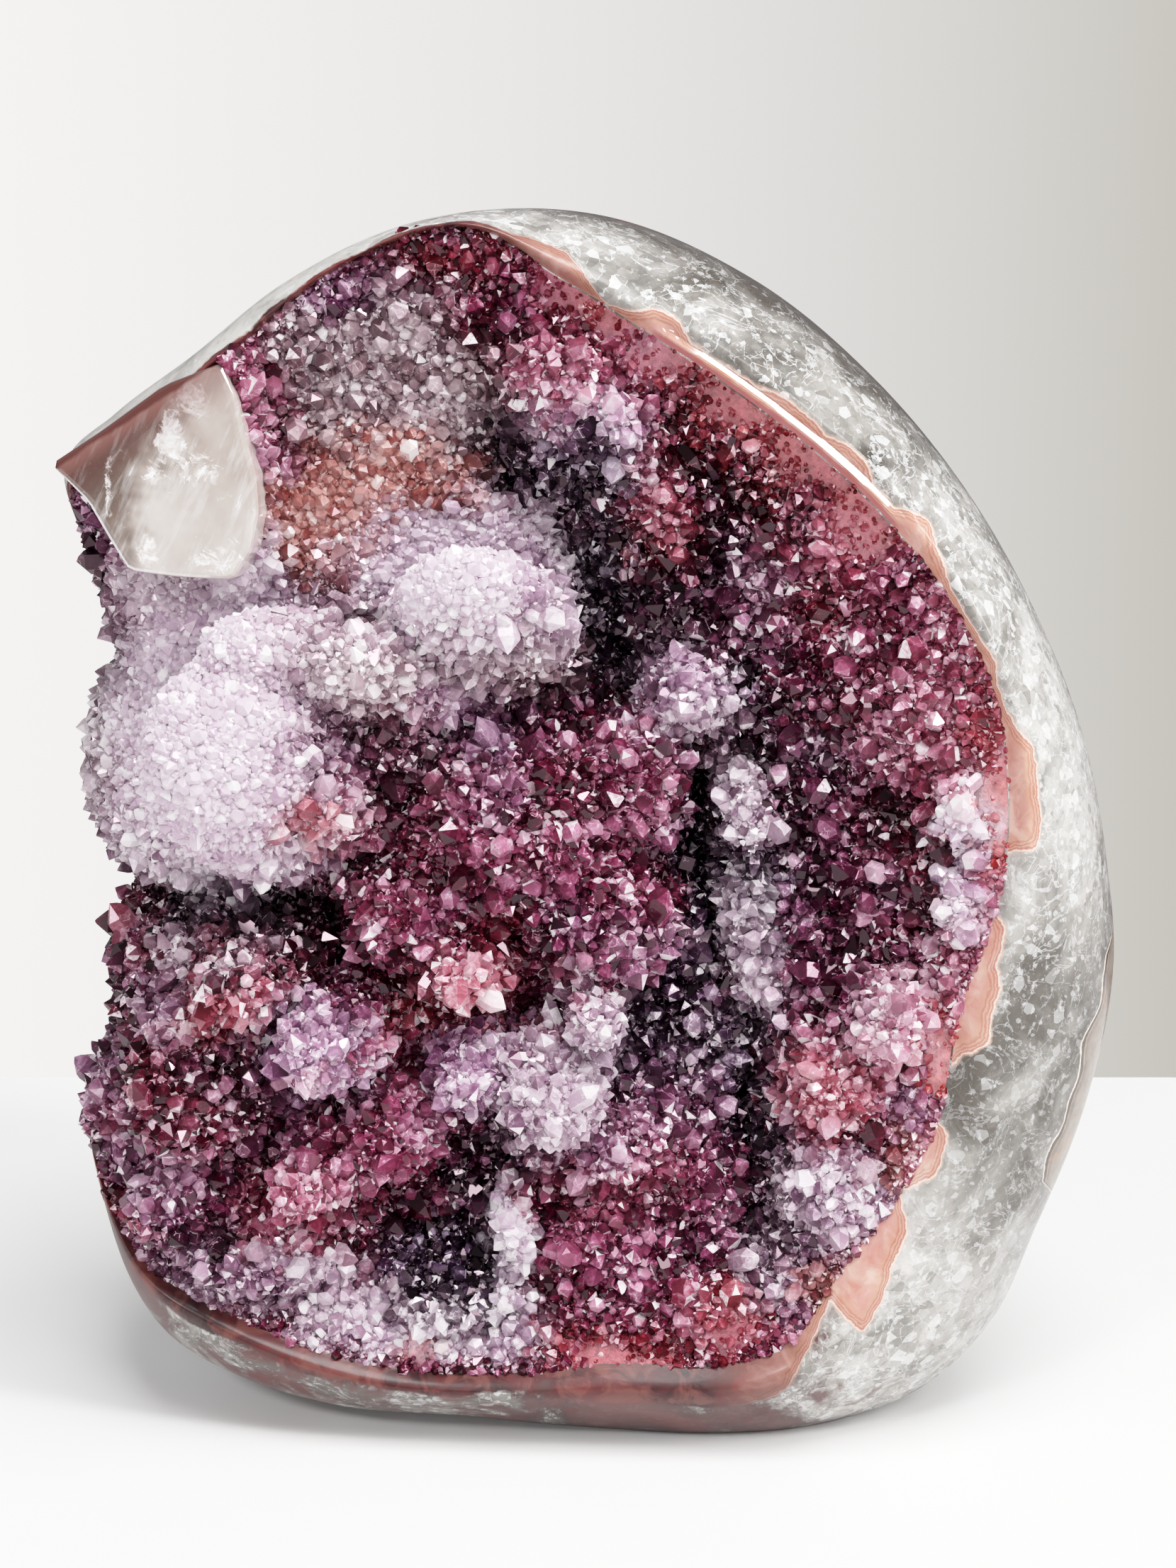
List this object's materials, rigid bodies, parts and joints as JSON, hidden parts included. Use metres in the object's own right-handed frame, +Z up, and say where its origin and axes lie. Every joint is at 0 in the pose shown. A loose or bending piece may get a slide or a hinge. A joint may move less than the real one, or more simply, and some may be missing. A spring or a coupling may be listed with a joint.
{
  "type": "druzy geode",
  "caption": "Free-standing druzy geode: a polished agate shell with a flat sawn base, its open front lined with a crust of amethyst crystals and a polished quartz window at one corner.",
  "frame": {"origin": "middle of the stone's bounding box on the flat sawn base", "axes": "+Z up, the open druzy side faces -Y, +X to the right as seen from that side"},
  "size_m": [0.1563, 0.0836, 0.179],
  "materials": {
    "agate": "polished translucent grey-white quartz with a salmon agate band beside the crystals",
    "amethyst": "glassy flat-faced crystals, plum and raspberry with pale lilac lumps"
  },
  "bodies": {
    "root": {"agate_shell": "agate", "crystal_crust": "amethyst"}
  },
  "joints": []
}
